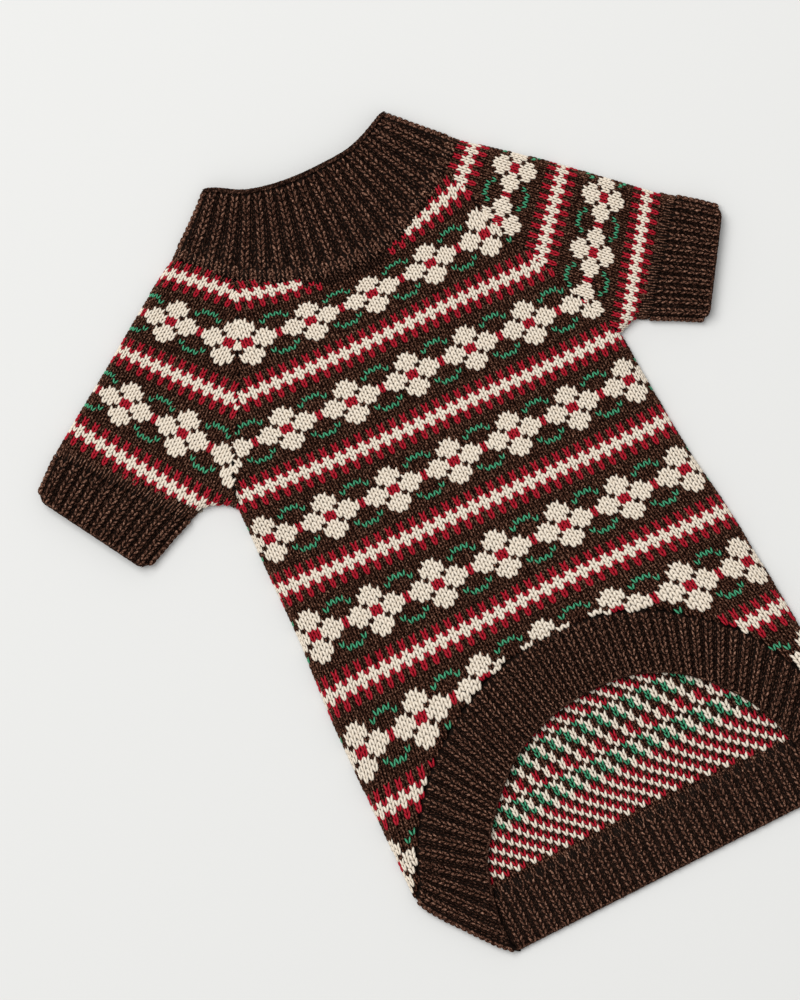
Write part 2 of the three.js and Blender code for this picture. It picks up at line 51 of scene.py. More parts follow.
# ---- cloth and layers
LOFT = 6.8
FOLD_WIDTH = 7.0
FOLD_ARC = 10.84
FOLD_REACH = 25.0
WRAP = FOLD_ARC - FOLD_WIDTH
EDGE_INSET = 0.45
HEM_LOFT = 5.5
RIB_HEIGHT = 0.8
UNDER_Z = 0.9
INSIDE_Z = 2.0
SHELL_SINK = 0.45
SHELL_WALL = 1.0
BACK_INSET = 3.5
HEM_INSET = 1.8
LOWEST = 0.02
CURVE_STEPS = 6
BODY_COLUMNS, BODY_ROWS = 76, 72
CORD_SIDES = 8
# The yarns' finish, the floor and the light.
YARN_ROUGHNESS, YARN_GLOSS, YARN_BUMP, FIBRE_SCALE = 0.72, 0.03, 0.35, 2600
FLOOR_COLOUR, FLOOR_ROUGHNESS, FLOOR_HALF = (0.725, 0.725, 0.71, 1), 0.9, 4.0
KEY_PLACE, KEY_SIZE, KEY_POWER, WORLD_STRENGTH = (-0.87, 2.13, 3.98), 3.2, 168, 0.55

# ---- outlines (x, y)
LEFT_SIDE = [(-100.5, -142), (-101.8, -172), (-103.2, -210), (-106.4, -245), (-108.2, -282),
    (-109.2, -318), (-110.5, -346)]
RIGHT_SIDE = [(100.5, -149.6), (101.7, -176), (103.9, -212), (108.1, -246), (110.9, -280), (113.2, -314),
    (114.8, -346)]
# Where the hem's ribbed ring is folded, from the chest band to the back band.
LEFT_HEM_FOLD = [(-110.5, -346), (-108.4, -352), (-103.3, -360.4), (-95.6, -371), (-90, -378.5),
    (-84.8, -385.2), (-79.3, -390.7)]
RIGHT_HEM_FOLD = [(114.8, -346), (112.9, -352), (108, -360.4), (100.6, -371), (95.2, -378.5),
    (90.2, -385.2), (84.8, -390.7)]
NECK_SEAM = [(-73.8, -20), (-64.4, -30.2), (-52.5, -42.5), (-41.6, -49.9), (-23.6, -58), (-9.5, -62.4),
    (6.2, -64), (17.8, -62.8), (30.7, -59.3), (45.1, -52.4), (62.5, -41.3), (73.6, -32)]
LEFT_RAGLAN_TOP, RIGHT_RAGLAN_TOP = 2, 10
COLLAR_TOP = [(-45.5, 3), (-38.6, -0.8), (-29.5, -6.2), (-18, -9.6), (-5.2, -11.5), (9, -12), (24, -11.4),
    (35, -8.2), (46.6, -3)]
COLLAR_LEFT_FOLD = [(-45.5, 3), (-56.7, -6.7), (-67, -14.6), (-73.8, -20)]
COLLAR_RIGHT_FOLD = [(46.6, -3), (58.3, -15.7), (67.6, -25.6), (73.6, -32)]
LEFT_RAGLAN = [(-52.5, -42.5), (-56.5, -51), (-64.9, -71), (-78, -97), (-91.5, -119), (-98, -132),
    (-100.5, -142)]
RIGHT_RAGLAN = [(62.5, -41.3), (65.1, -53), (71.3, -78), (82, -102), (92.4, -128), (98, -142),
    (100.5, -149.6)]
# Folded edges of sleeves and cuffs: shoulder fold, lower fold.
LEFT_SLEEVE_FOLDS = ([(-73.8, -20), (-95.1, -32.4), (-129.2, -54.4), (-150, -67.2), (-163.7, -76)],
    [(-100.5, -142), (-104, -138.2), (-109, -135.2), (-114, -134), (-118.6, -133.9)])
RIGHT_SLEEVE_FOLDS = ([(73.6, -32), (100.5, -54.4), (120.3, -72.6), (137, -87.9), (150.8, -100.5)],
    [(100.5, -149.6), (103.2, -148.6), (106.2, -147.8), (108.8, -147.3), (111.4, -147.2)])
LEFT_CUFF_FOLDS = ([(-163.7, -76), (-174.2, -84.2), (-184.6, -92.7)], [(-118.6, -133.9), (-135.9, -140.2),
    (-153.6, -147.8)])
RIGHT_CUFF_FOLDS = ([(150.8, -100.5), (161.2, -108.8), (171.4, -117.6)], [(111.4, -147.2), (126, -154.9),
    (140.8, -163.4)])
# The chest band's ribs: seam end, free end.
CHEST_BAND = [(-110.5, -346, -79.3, -390.7), (-105.4, -341.2, -79, -375), (-99.8, -327.5, -72.6, -349.4),
    (-88.8, -310, -64.7, -336.3), (-80.2, -300, -58.6, -328.6), (-69, -289.4, -51.6, -321),
    (-52, -278.2, -40.4, -311), (-38, -271, -29.7, -304.2), (-19.2, -265, -12.7, -298.1),
    (6, -262.3, 6.4, -295.5), (29.8, -265.2, 27, -296.7), (48, -271.6, 42.2, -302),
    (59.1, -277.8, 51, -307.1), (68.2, -284.8, 57.8, -312.4), (81, -296, 66.9, -322.2),
    (92.6, -309.6, 75.6, -334.4), (101.5, -327.5, 82, -348.6), (109, -341.6, 87, -370),
    (114.8, -346, 84.8, -390.7)]
HEM_SEAM_Y = -359.0
SHORTEST_RIB = 2.0
# Rounded corners of a cuff's open end: how far in from the fold, and how far back.
CORNER_REACH, CORNER_DROP = 5.0, 2.0
# Where a cuff's ribs start, after its first plain rows.
CUFF_CREASE = 0.15

# Soft folds of the upper layer: from x, from y, to x, to y, half width, height.
FOLDS = [(-90, -143, -46, -119, 9, 0.9), (91, -149, 50, -122, 9, 0.8), (-84, -170, -60, -238, 12, -0.7),
    (88, -178, 72, -246, 12, -0.6), (-34, -84, 48, -86, 13, 0.7), (-18, -140, 20, -236, 27, 0.9),
    (-86, -262, -58, -266, 12, 0.6), (84, -272, 60, -258, 12, 0.5), (-96, -58, -112, -104, 12, 0.8),
    (104, -82, 104, -122, 12, 0.8)]
# Finer creases of the cloth, in the same columns.
CREASES = [(-98, -150, -72, -158, 3.5, 0.45), (-99, -160, -80, -176, 3, -0.4),
    (-97, -138, -78, -132, 3, -0.4), (99, -158, 76, -164, 3.5, 0.4), (100, -168, 84, -184, 3, -0.35),
    (97, -142, 80, -136, 3, -0.4), (-104, -214, -88, -206, 4, 0.35), (-106, -252, -84, -248, 4, -0.35),
    (108, -226, 90, -220, 4, 0.3), (110, -262, 90, -254, 4, -0.3), (-62, -74, -38, -80, 4, 0.3),
    (66, -70, 40, -76, 4, -0.3), (-120, -70, -108, -96, 4, -0.35), (-140, -84, -128, -112, 4, 0.3),
    (118, -92, 108, -118, 4, -0.3), (136, -104, 126, -124, 4, 0.3), (-100, -300, -84, -292, 4, 0.35),
    (104, -300, 92, -292, 4, 0.3)]

# ---- knitting charts
# Yarns: b brown, c cream, r red, g green. A band of flowers, 11 stitches wide and 10 rows high.
FLOWER_BAND = ["ggbbbccbbbg", "bbgbccccbgb", "bbbbccccbbb", "bbccbccbccb", "rccccrrcccc", "rccccrrcccc",
    "bbccbccbccb", "bbbbccccbbb", "bbgbccccbgb", "ggbbbccbbbg"]
# A zigzag band, two stitches wide and seven rows high, and the plain rows between bands.
ZIGZAG_BAND = ["rb", "rb", "cr", "cc", "cr", "rb", "rb"]
PLAIN_ROWS = ["b", "b"]
# Rows from the middle of one zigzag to the middle of the next.
FRONT_CHART = ZIGZAG_BAND[3:] + PLAIN_ROWS + FLOWER_BAND + PLAIN_ROWS + ZIGZAG_BAND[:3]
FLOWER_CENTRE = 6
# From this row on, the body's zigzags start one stitch later; past this row, sleeves are plain.
LATER_ZIGZAGS, LAST_SLEEVE_ROW = 11, 46
# The inside of the back: three stitches wide and 21 rows high.
INSIDE_CHART = ["gcb", "bgc", "bgc", "cbg", "cbb", "bcr", "bcr", "rbc", "gcb", "bgc", "bgc", "cbg", "crb",
    "bcr", "rbc", "crb", "bcr", "rbc", "crb", "bcr", "rbc"]

# How the chest's rows lie: row, then y = level + slope x + curve x^2.
CHEST_ROWS = [(-14, -38, -0.035, 0.005), (0, -61.1, -0.0355, 0.002935), (10.5, -78.1, -0.0465, 0.000764),
    (21, -99, -0.0477, 0.000102), (31.5, -121.7, -0.056, 0.000053), (42, -144.5, -0.06, 0.000131),
    (52.5, -168, -0.053, 0.000236), (63, -192.1, -0.0522, 0.00015), (73.5, -217.9, -0.0452, 0.000127),
    (84, -242.1, -0.0274, -0.000235), (94.5, -269.3, -0.0075, -0.000334), (105, -301, 0.0056, 0),
    (115.5, -329, 0, 0), (126, -358, 0, 0), (136.5, -387, 0, 0)]
# One row bows up over the arch: the row, how many rows it takes to fade, and its rise at seven wales.
CHEST_BOW = (94.5, 10.5, (0, 0, 2.2, 4.1, 2.2, 0, 0))
# How its wales lie: row, then x of every eleventh wale, three to each side of the middle one.
CHEST_WALES = [(0, -87, -57.2, -27, 3.3, 33.6, 63.8, 94), (10.5, -93, -61.4, -29.3, 3.3, 34.8, 63.9, 93),
    (31.5, -95.5, -62.9, -29.7, 2.4, 32.9, 63, 93), (52.5, -93.7, -62.4, -29.8, 1.9, 33.7, 64.2, 94.1),
    (73.5, -95.6, -63.8, -31.9, 1.4, 35.1, 66.5, 98.1),
    (94.5, -101.2, -68.7, -31.8, 1.6, 38.8, 75.3, 105), (115.5, -112.5, -78, -40, 2, 42, 82.5, 117)]
FLOWER_WALES = 11
# Four flowers' centres on each sleeve: rows 10.5 and 31.5, wales -11 and 0.
SLEEVE_FLOWER_ROWS = (10.5, 31.5)
LEFT_FLOWERS = [[(-88.3, -47.4), (-68.8, -68.6)], [(-125.6, -71.9), (-108.2, -96.8)]]
RIGHT_FLOWERS = [[(91.7, -55.8), (72.3, -75)], [(122.6, -88), (105.9, -108.7)]]
# Rows along each sleeve after the second flowers, in steps of those before: left, right.
SLEEVE_PACES = (1.04, 0.92)
# The inside of the back: x of its wales and y of its rows, where its last patterned row lies, and
# how far its rows drop towards the right.
INSIDE_WALES = [(-42, -132), (14, 26.4), (19.5, 42.6), (24, 56.8), (34, 89.4), (48, 135)]
INSIDE_ROWS = [(-16, -264.6), (0, -305.9), (12, -336.9), (14, -343), (24, -368.6)]
INSIDE_LAST_ROW = 19
INSIDE_DROP = (25, 85, 1.8)
INSIDE_END = -360.4

# Ribs that show on each ribbed piece, and the stitches along them.
COLLAR_RIBS, CUFF_RIBS, CHEST_BAND_RIBS, BACK_BAND_RIBS = 20, 13, 51, 35
# Ribs counted along the chest band, by share of its mean length: they stand closer at the middle.
CHEST_BAND_COUNT = [(0, 0), (0.2, 8.4), (0.3, 13.2), (0.4, 18.9), (0.5, 25.2), (0.6, 31.1), (0.7, 36.5),
    (0.8, 41.4), (1, 49.6)]
RIB_ROW = 3.0
RIB_WIDTH = 4.2
RIB_SHARE = 0.74
FURROW_MARGIN = 4.4
FURROW_WIDTH = 1.2
# Within this distance of the neck's seam, between these x, each yarn is swapped for the brown painted
# darker: painted shadow of the collar.
NECK_REACH = 4.2
NECK_SHADE = {"b": (-16.5, 18.5), "c": (-24, 31), "r": (-16.5, 18.5)}

# One leg of a stitch: across and along in stitch widths and rows, height in mm, half width.
LEG = [(0.09, 0.82, 0.15, 0.0), (0.15, 0.56, 0.78, 0.16), (0.22, 0.20, 1.0, 0.22),
    (0.30, -0.20, 0.86, 0.21), (0.37, -0.56, 0.48, 0.15), (0.44, -0.86, 0.05, 0.0)]
PLAIN_LEG = [(0.08, 0.68, 0.10, 0.0), (0.24, 0.05, 0.75, 0.26), (0.38, -0.72, 0.05, 0.0)]
RIB_LEG = [(0.08, 0.68, 0.10, 0.0), (0.14, 0.44, 0.80, 0.15), (0.23, 0.10, 1.0, 0.19),
    (0.32, -0.26, 0.85, 0.18), (0.41, -0.64, 0.10, 0.0)]
# How full each yarn lies: its legs' width, the height in mm at which their sides meet, their height
# and their length.
FULLNESS = {"b": (1.0, 0.10, 1.0, 1.0), "d": (1.0, 0.10, 1.0, 1.0), "h": (1.0, -0.30, 1.0, 1.0), "c":
    (1.28, 0.48, 0.92, 1.0), "r": (1.15, 0.28, 0.95, 0.96), "g": (1.0, 0.12, 0.92, 0.8)}


# ---- paths in plan
def smooth(rows):
    """A smooth path through a table's rows, with CURVE_STEPS points a row."""
    rows = np.array(rows, float)
    out = []
    for k in range(len(rows) - 1):
        p0, p1 = rows[max(k - 1, 0)], rows[k]
        p2, p3 = rows[k + 1], rows[min(k + 2, len(rows) - 1)]
        for step in range(CURVE_STEPS):
            t = step / CURVE_STEPS
            start, end = (p2 - p0) / 2, (p3 - p1) / 2
            out.append((2 * t**3 - 3 * t**2 + 1) * p1 + (t**3 - 2 * t**2 + t) * start
                       + (3 * t**2 - 2 * t**3) * p2 + (t**3 - t**2) * end)
    return np.array(out + [rows[-1]])


def offset(path, distance):
    """The path moved sideways, to the left of its direction."""
    path = np.asarray(path, float)
    along = np.empty_like(path)
    along[1:-1] = path[2:] - path[:-2]
    along[0], along[-1] = path[1] - path[0], path[-1] - path[-2]
    along /= np.linalg.norm(along, axis=1)[:, None]
    return path + distance * np.column_stack([-along[:, 1], along[:, 0]])


def reach_of(*paths):
    """Length along a path at each of its points, or the mean length along several."""
    steps = np.mean([np.linalg.norm(np.diff(path, axis=0), axis=1) for path in paths], axis=0)
    return np.concatenate([[0], np.cumsum(steps)])


def along_path(path, shares, reach=None):
    """Points at shares of a path's length; shares past its ends go straight on."""
    path = np.asarray(path, float)
    reach = reach_of(path) if reach is None else reach
    wanted = np.asarray(shares, float) * reach[-1]
    points = np.stack([np.interp(wanted, reach, path[:, k]) for k in (0, 1)], axis=-1)
    before, after = path[0] - path[1], path[-1] - path[-2]
    points += np.maximum(-wanted, 0)[..., None] * before / np.linalg.norm(before)
    points += np.maximum(wanted - reach[-1], 0)[..., None] * after / np.linalg.norm(after)
    return points


def extended(path, length):
    """The path with a straight stretch added at both ends."""
    path = np.asarray(path, float)
    share = length / reach_of(path)[-1]
    ends = along_path(path, [-share, 1 + share])
    return np.vstack([ends[:1], path, ends[1:]])


def nearest(points, path):
    """For each point: distance to a path, nearest point, and the left side's normal there."""
    path = np.asarray(path, float)
    a, b = path[:-1], path[1:]
    ab = b - a
    lengths = np.linalg.norm(ab, axis=1)
    best = np.full(len(points), np.inf)
    near = np.zeros((len(points), 2))
    left = np.zeros((len(points), 2))
    for k in range(len(a)):
        rel = points - a[k]
        t = np.clip(rel @ ab[k] / lengths[k]**2, 0, 1)
        spot = a[k] + t[:, None] * ab[k]
        gap = np.linalg.norm(points - spot, axis=1)
        closer = gap < best
        best[closer], near[closer] = gap[closer], spot[closer]
        left[closer] = np.array([-ab[k][1], ab[k][0]]) / lengths[k]
    return best, near, left


def inside(points, outline):
    """Whether each point lies inside a closed outline."""
    outline = np.asarray(outline, float)
    x, y = points[:, 0], points[:, 1]
    found = np.zeros(len(points), bool)
    for (x0, y0), (x1, y1) in zip(outline, np.roll(outline, -1, axis=0)):
        if y0 != y1:
            crosses = (y0 > y) != (y1 > y)
            found ^= crosses & (x < (x1 - x0) * (y - y0) / (y1 - y0) + x0)
    return found


def area_of(outline):
    x, y = np.asarray(outline, float).T
    return abs(np.dot(x, np.roll(y, -1)) - np.dot(y, np.roll(x, -1))) / 2


neck_seam = smooth(NECK_SEAM)
neck_left = neck_seam[:LEFT_RAGLAN_TOP * CURVE_STEPS + 1]
neck_middle = neck_seam[LEFT_RAGLAN_TOP * CURVE_STEPS:RIGHT_RAGLAN_TOP * CURVE_STEPS + 1]
neck_right = neck_seam[RIGHT_RAGLAN_TOP * CURVE_STEPS:]
left_raglan, right_raglan = smooth(LEFT_RAGLAN), smooth(RIGHT_RAGLAN)
left_side, right_side = smooth(LEFT_SIDE), smooth(RIGHT_SIDE)
left_hem_fold, right_hem_fold = smooth(LEFT_HEM_FOLD), smooth(RIGHT_HEM_FOLD)
left_edge = np.vstack([left_side, left_hem_fold[1:]])
right_edge = np.vstack([right_side, right_hem_fold[1:]])
body_top = np.vstack([left_raglan[::-1], neck_middle[1:-1], right_raglan])
band_table = np.array(CHEST_BAND, float)
band_seam, band_free = smooth(band_table[:, :2]), smooth(band_table[:, 2:])
collar_top = smooth(COLLAR_TOP)
collar_left, collar_right = smooth(COLLAR_LEFT_FOLD), smooth(COLLAR_RIGHT_FOLD)
left_sleeve_folds, right_sleeve_folds, left_cuff_folds, right_cuff_folds = (
    [smooth(rows) for rows in folds]
    for folds in (LEFT_SLEEVE_FOLDS, RIGHT_SLEEVE_FOLDS, LEFT_CUFF_FOLDS, RIGHT_CUFF_FOLDS))
left_crease, right_crease = (np.vstack([along_path(fold, [CUFF_CREASE]) for fold in folds])
                             for folds in (left_cuff_folds, right_cuff_folds))

# Seams that lie lower than the cloth beside them: path, depth, half width.
VALLEYS = [(neck_seam, 1.0, 3.0), (left_crease, 1.9, 1.8), (right_crease, 1.9, 1.8),
           (left_raglan, 0.15, 2.0), (right_raglan, 0.15, 2.0), (band_seam, 0.8, 2.4)]


def ridge(points, x0, y0, x1, y1, half_width, height):
    """Height of one soft fold at each point."""
    along = np.array([x1 - x0, y1 - y0])
    rel = points - (x0, y0)
    t = np.clip(rel @ along / (along @ along), 0, 1)
    gap = np.linalg.norm(rel - t[:, None] * along, axis=1)
    return height * np.exp(-(gap / half_width)**2)


def loft(points):
    """Height of the upper layer's outer face, away from the folded edges."""
    height = np.full(len(points), LOFT)
    for fold in FOLDS + CREASES:
        height += ridge(points, *fold)
    for path, depth, half_width in VALLEYS:
        height -= depth * np.exp(-(nearest(points, path)[0] / half_width)**2)
    return height


def band_height(points):
    """Height of the chest band: it comes down from its seam to its free edge."""
    from_seam, from_free = nearest(points, band_seam)[0], nearest(points, band_free)[0]
    share = from_seam / np.maximum(from_seam + from_free, 1e-6)
    return (1 - share) * loft(points) + share * HEM_LOFT


class Cover:
    """The outer face of one upper layer: flat, then rolled down over its folded edges.

    Each fold is a path with the cloth on its left. Plan points past a fold, up to WRAP, lie
    round its edge.
    """

    def __init__(self, folds=(), height=loft):
        self.folds = [extended(fold, FOLD_REACH) for fold in folds]
        self.height = height
        self.facing = 1

    def at(self, points):
        points = np.asarray(points, float)
        height = self.height(points)
        plan = points.copy()
        rise = np.ones(len(points))
        for fold in self.folds:
            distance, near, left = nearest(points, fold)
            side = np.sign(np.sum((points - near) * left, axis=1))
            rolled = FOLD_WIDTH - np.where(side < 0, -distance, distance)
            at_fold = rolled > 0
            angle = np.clip(1 - rolled / FOLD_ARC, 0, 1) * math.pi / 2
            inset = FOLD_WIDTH - (FOLD_WIDTH - EDGE_INSET) * np.cos(angle)
            spot = near + left * inset[:, None]
            plan[at_fold] = spot[at_fold]
            rise[at_fold] = np.sin(angle[at_fold])
        return np.column_stack([plan, UNDER_Z + (height - UNDER_Z) * rise])


class Flat:
    """A flat face at one height, looking up (1) or down (-1)."""

    def __init__(self, z, facing):
        self.z = z
        self.facing = facing

    def at(self, points):
        return np.column_stack([points, np.full(len(points), self.z)])


# ---- meshes and materials
def make_piece(name, points, faces, material, replaces=()):
    """One mesh object from points in mm and triangles."""
    faces = np.asarray(faces, np.int32)
    mesh = bpy.data.meshes.new(name)
    mesh.vertices.add(len(points))
    places = (np.asarray(points, float) + (SHIFT_X, SHIFT_Y, 0)) * MM
    mesh.vertices.foreach_set("co", places.astype(np.float32).ravel())
    mesh.loops.add(faces.size)
    mesh.loops.foreach_set("vertex_index", faces.ravel())
    mesh.polygons.add(len(faces))
    mesh.polygons.foreach_set("loop_start", np.arange(0, faces.size, 3, dtype=np.int32))
    mesh.polygons.foreach_set("loop_total", np.full(len(faces), 3, np.int32))
    mesh.polygons.foreach_set("use_smooth", np.ones(len(faces), bool))
    mesh.update(calc_edges=True)
    mesh.materials.append(material)
    piece = bpy.data.objects.new(name, mesh)
    bpy.context.scene.collection.objects.link(piece)
    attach(piece, "root")
    if replaces:
        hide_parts(*replaces)
    return piece


def ramp(nodes, links, source, stops):
    """A colour ramp fed by a noise."""
    node = nodes.new("ShaderNodeValToRGB")
    for _ in range(len(stops) - len(node.color_ramp.elements)):
        node.color_ramp.elements.new(0.5)
    for element, (place, colour) in zip(node.color_ramp.elements, stops):
        element.position = place
        element.color = (*colour, 1)
    links.new(source, node.inputs["Fac"])
    return node.outputs["Color"]


def noise(nodes, links, coordinates, scale, detail, roughness):
    node = nodes.new("ShaderNodeTexNoise")
    node.inputs["Scale"].default_value = scale
    node.inputs["Detail"].default_value = detail
    node.inputs["Roughness"].default_value = roughness
    links.new(coordinates, node.inputs["Vector"])
    return node.outputs["Fac"]


def yarn(name, stops, fleck_scale):
    """Spun yarn: flecks of its fibres' colours and a fine fibre bump."""
    material = bpy.data.materials.new(name)
    material.use_nodes = True
    nodes, links = material.node_tree.nodes, material.node_tree.links
    shader = nodes["Principled BSDF"]
    coordinates = nodes.new("ShaderNodeTexCoord").outputs["Object"]
    flecks = noise(nodes, links, coordinates, fleck_scale, 3, 0.65)
    links.new(ramp(nodes, links, flecks, stops), shader.inputs["Base Color"])
    fibres = noise(nodes, links, coordinates, FIBRE_SCALE, 2, 0.6)
    lift = nodes.new("ShaderNodeBump")
    lift.inputs["Strength"].default_value = YARN_BUMP
    lift.inputs["Distance"].default_value = 0.0004
    links.new(fibres, lift.inputs["Height"])
    links.new(lift.outputs["Normal"], shader.inputs["Normal"])
    shader.inputs["Roughness"].default_value = YARN_ROUGHNESS
    shader.inputs["Specular IOR Level"].default_value = YARN_GLOSS
    return material


YARNS = {
    "b": yarn("yarn_brown", [(0.0, (0.006, 0.002, 0.0012)), (0.42, (0.016, 0.0055, 0.0036)),
              (0.52, (0.050, 0.019, 0.011)), (0.60, (0.18, 0.083, 0.053)),
              (0.74, (0.43, 0.24, 0.16))], 1050),
    # d: the brown yarn painted darker, as painted shade in the furrows, on rolled edges and chains, and in
    # the collar's shadow.
    "d": yarn("yarn_brown_painted_shade", [(0.0, (0.004, 0.0015, 0.001)), (0.44, (0.010, 0.004, 0.0025)),
              (0.55, (0.038, 0.017, 0.011)), (0.68, (0.20, 0.10, 0.066))], 1050),
    "h": yarn("yarn_brown_heather", [(0.0, (0.006, 0.002, 0.0012)), (0.40, (0.018, 0.0065, 0.0043)),
              (0.50, (0.062, 0.026, 0.016)), (0.58, (0.22, 0.108, 0.071)),
              (0.72, (0.50, 0.29, 0.20))], 1050),
    "c": yarn("yarn_cream", [(0.0, (0.62, 0.50, 0.365)), (0.45, (0.815, 0.715, 0.59)),
              (1.0, (0.87, 0.785, 0.665))], 500),
    "r": yarn("yarn_red", [(0.0, (0.195, 0.005, 0.011)), (0.5, (0.405, 0.0145, 0.028)),
              (1.0, (0.545, 0.045, 0.062))], 700),
    "g": yarn("yarn_green", [(0.0, (0.044, 0.13, 0.066)), (0.5, (0.068, 0.335, 0.175)),
              (1.0, (0.16, 0.56, 0.345))], 700),
}
YARN_WORDS = {"b": "brown", "d": "painted_shade_brown", "h": "heather", "c": "cream", "r": "red", "g": "green"}
# The cloth shells under the stitches: near-black painted shade that shows in the gaps between stitches.
SHADE_BACKING = yarn("cloth_backing_painted_shade", [(0.3, (0.004, 0.002, 0.0015)), (0.7, (0.012, 0.007, 0.005))], 300)


def stitch_mesh(surface, centres, across, down, leg, scale, fullness, lift=0.0, height=1.0, fill=1.0):
    """Points and faces of knit stitches, two legs each.

    centres, across and down are plan vectors, one row a stitch. leg is a template; scale is
    each stitch's own width; fullness is its yarn's.
    """
    full, foot, tall, long = fullness
    full *= fill
    middle = surface.at(centres)
    side = surface.at(centres + across / 2) - surface.at(centres - across / 2)
    fall = surface.at(centres + down / 2) - surface.at(centres - down / 2)
    turn = np.sign(down[:, 0] * across[:, 1] - down[:, 1] * across[:, 0]) * surface.facing
    outward = np.cross(fall, side) * turn[:, None]
    outward /= np.linalg.norm(outward, axis=1)[:, None]
    rows = np.array(leg)
    points, faces = [], []
    count = len(centres)
    for hand in (-1, 1):
        ring_points = []
        for u, v, h, half in rows:
            wide = half * full
            spots = [(u, h)] if half == 0 else [(u - wide, foot), (u, h), (u + wide, foot)]
            ring_points += [(hand * a, v, b) for a, b in spots]
        template = np.array(ring_points)
        jitter = RANDOM.normal(0, 1, (count, 3)) * (0.018, 0.03, 0.05)
        u = template[None, :, 0] * scale[:, None] + jitter[:, None, 0]
        v = template[None, :, 1] * long + jitter[:, None, 1]
        h = template[None, :, 2] * height * tall * (1 + jitter[:, None, 2]) + lift
        leg_points = (middle[:, None, :] + u[..., None] * side[:, None, :]
                      + v[..., None] * fall[:, None, :] + h[..., None] * outward[:, None, :])
        triangles = leg_faces(len(rows))
        # The order of the corners follows the leg's hand and the way that the face looks.
        handed = -turn * hand
        base = np.arange(count)[:, None, None] * len(template) + triangles[None]
        base = np.where(handed[:, None, None] > 0, base, base[:, :, ::-1])
        faces.append(base.reshape(-1, 3) + sum(len(block) for block in points))
        points.append(leg_points.reshape(-1, 3))
    points = np.vstack(points)
    points[:, 2] = np.maximum(points[:, 2], LOWEST)
    return points, np.vstack(faces)


def leg_faces(rings):
    """Triangles of a leg: a tip, rings of three points, and a tip."""
    faces = [(0, 1 + k, 1 + (k + 1) % 3) for k in range(3)]
    for ring in range(rings - 3):
        first = 1 + 3 * ring
        for k in range(3):
            a, b = first + k, first + (k + 1) % 3
            faces += [(a, a + 3, b + 3), (a, b + 3, b)]
    last = 1 + 3 * (rings - 3)
    faces += [(last + (k + 1) % 3, last + k, last + 3) for k in range(3)]
    return np.array(faces, np.int32)


def knit(piece, slot, surface, centres, across, down, codes, leg=LEG, **options):
    """Stitch pieces, one for each yarn."""
    made = []
    scale = 1 + RANDOM.normal(0, 0.03, len(centres))
    for code, word in YARN_WORDS.items():
        chosen = codes == code
        if chosen.any():
            points, faces = stitch_mesh(surface, centres[chosen], across[chosen], down[chosen], leg,
                                        scale[chosen], FULLNESS[code], **options)
            made.append(make_piece(f"{piece}_{word}", points, faces, YARNS[code]))
    return made


def chart_codes(rows, wales, later_zigzags=None, last_row=None):
    """The front chart's yarn for each row and wale."""
    codes = []
    for row, wale in zip(rows, wales):
        line = FRONT_CHART[row % len(FRONT_CHART)]
        if last_row is not None and row > last_row:
            codes.append("b")
        elif len(line) > 2:
            codes.append(line[(wale + FLOWER_CENTRE) % len(line)])
        else:
            later = later_zigzags is not None and row >= later_zigzags
            codes.append(line[(wale + later) % len(line)])
    return np.array(codes)


def wobble(points):
    """The hand of the cloth: stitches lie a little out of line, in slow waves."""
    x, y = points[:, 0], points[:, 1]
    shift_x = 0.45 * np.sin(y / 23 + 0.5 * np.sin(x / 31)) + 0.25 * np.sin(x / 17 + y / 41)
    shift_y = 0.40 * np.sin(x / 19 + 0.6 * np.sin(y / 37)) + 0.25 * np.sin(x / 43 - y / 13)
    return points + np.column_stack([shift_x, shift_y])


def chest_place(rows, wales):
    """Plan points of the body's knitting at any rows and wales."""
    table, lines = np.array(CHEST_WALES), np.array(CHEST_ROWS)
    flowers = np.stack([np.interp(rows, table[:, 0], table[:, k]) for k in range(1, table.shape[1])])
    count = wales / FLOWER_WALES + (len(flowers) - 1) / 2
    before = np.clip(np.floor(count), 0, len(flowers) - 2).astype(int)
    every = np.arange(len(rows))
    x0, x1 = flowers[before, every], flowers[before + 1, every]
    x = x0 + (count - before) * (x1 - x0)
    level, slope, curve = (np.interp(rows, lines[:, 0], lines[:, k]) for k in (1, 2, 3))
    bow_row, fades_in, rises = CHEST_BOW
    bow = np.interp(count, np.arange(len(rises)), rises)
    bow = np.maximum(1 - np.abs(rows - bow_row) / fades_in, 0) * bow
    return np.column_stack([x, level + slope * x + curve * x * x + bow])


def sleeve_place(flowers, pace):
    """The same for a sleeve, from four of its flowers and its rows' pace after them."""
    corners = np.array(flowers, float)
    first, last = SLEEVE_FLOWER_ROWS

    def place(rows, wales):
        rows = np.where(rows > last, last + (rows - last) * pace, rows)
        s = ((rows - first) / (last - first))[:, None]
        t = ((wales + FLOWER_WALES) / FLOWER_WALES)[:, None]
        return ((1 - s) * ((1 - t) * corners[0, 0] + t * corners[0, 1])
                + s * ((1 - t) * corners[1, 0] + t * corners[1, 1]))
    return place


def lattice(place, first_row, last_row, first_wale, last_wale):
    """Centres, widths and rows of a piece's stitches, with row and wale numbers."""
    rows, wales = np.meshgrid(np.arange(first_row, last_row), np.arange(first_wale, last_wale),
                              indexing="ij")
    rows, wales = rows.ravel(), wales.ravel()
    centres = place(rows, wales + 0.5)
    across = place(rows, wales + 1) - place(rows, wales)
    down = place(rows + 0.5, wales + 0.5) - place(rows - 0.5, wales + 0.5)
    return wobble(centres), across, down, rows, wales


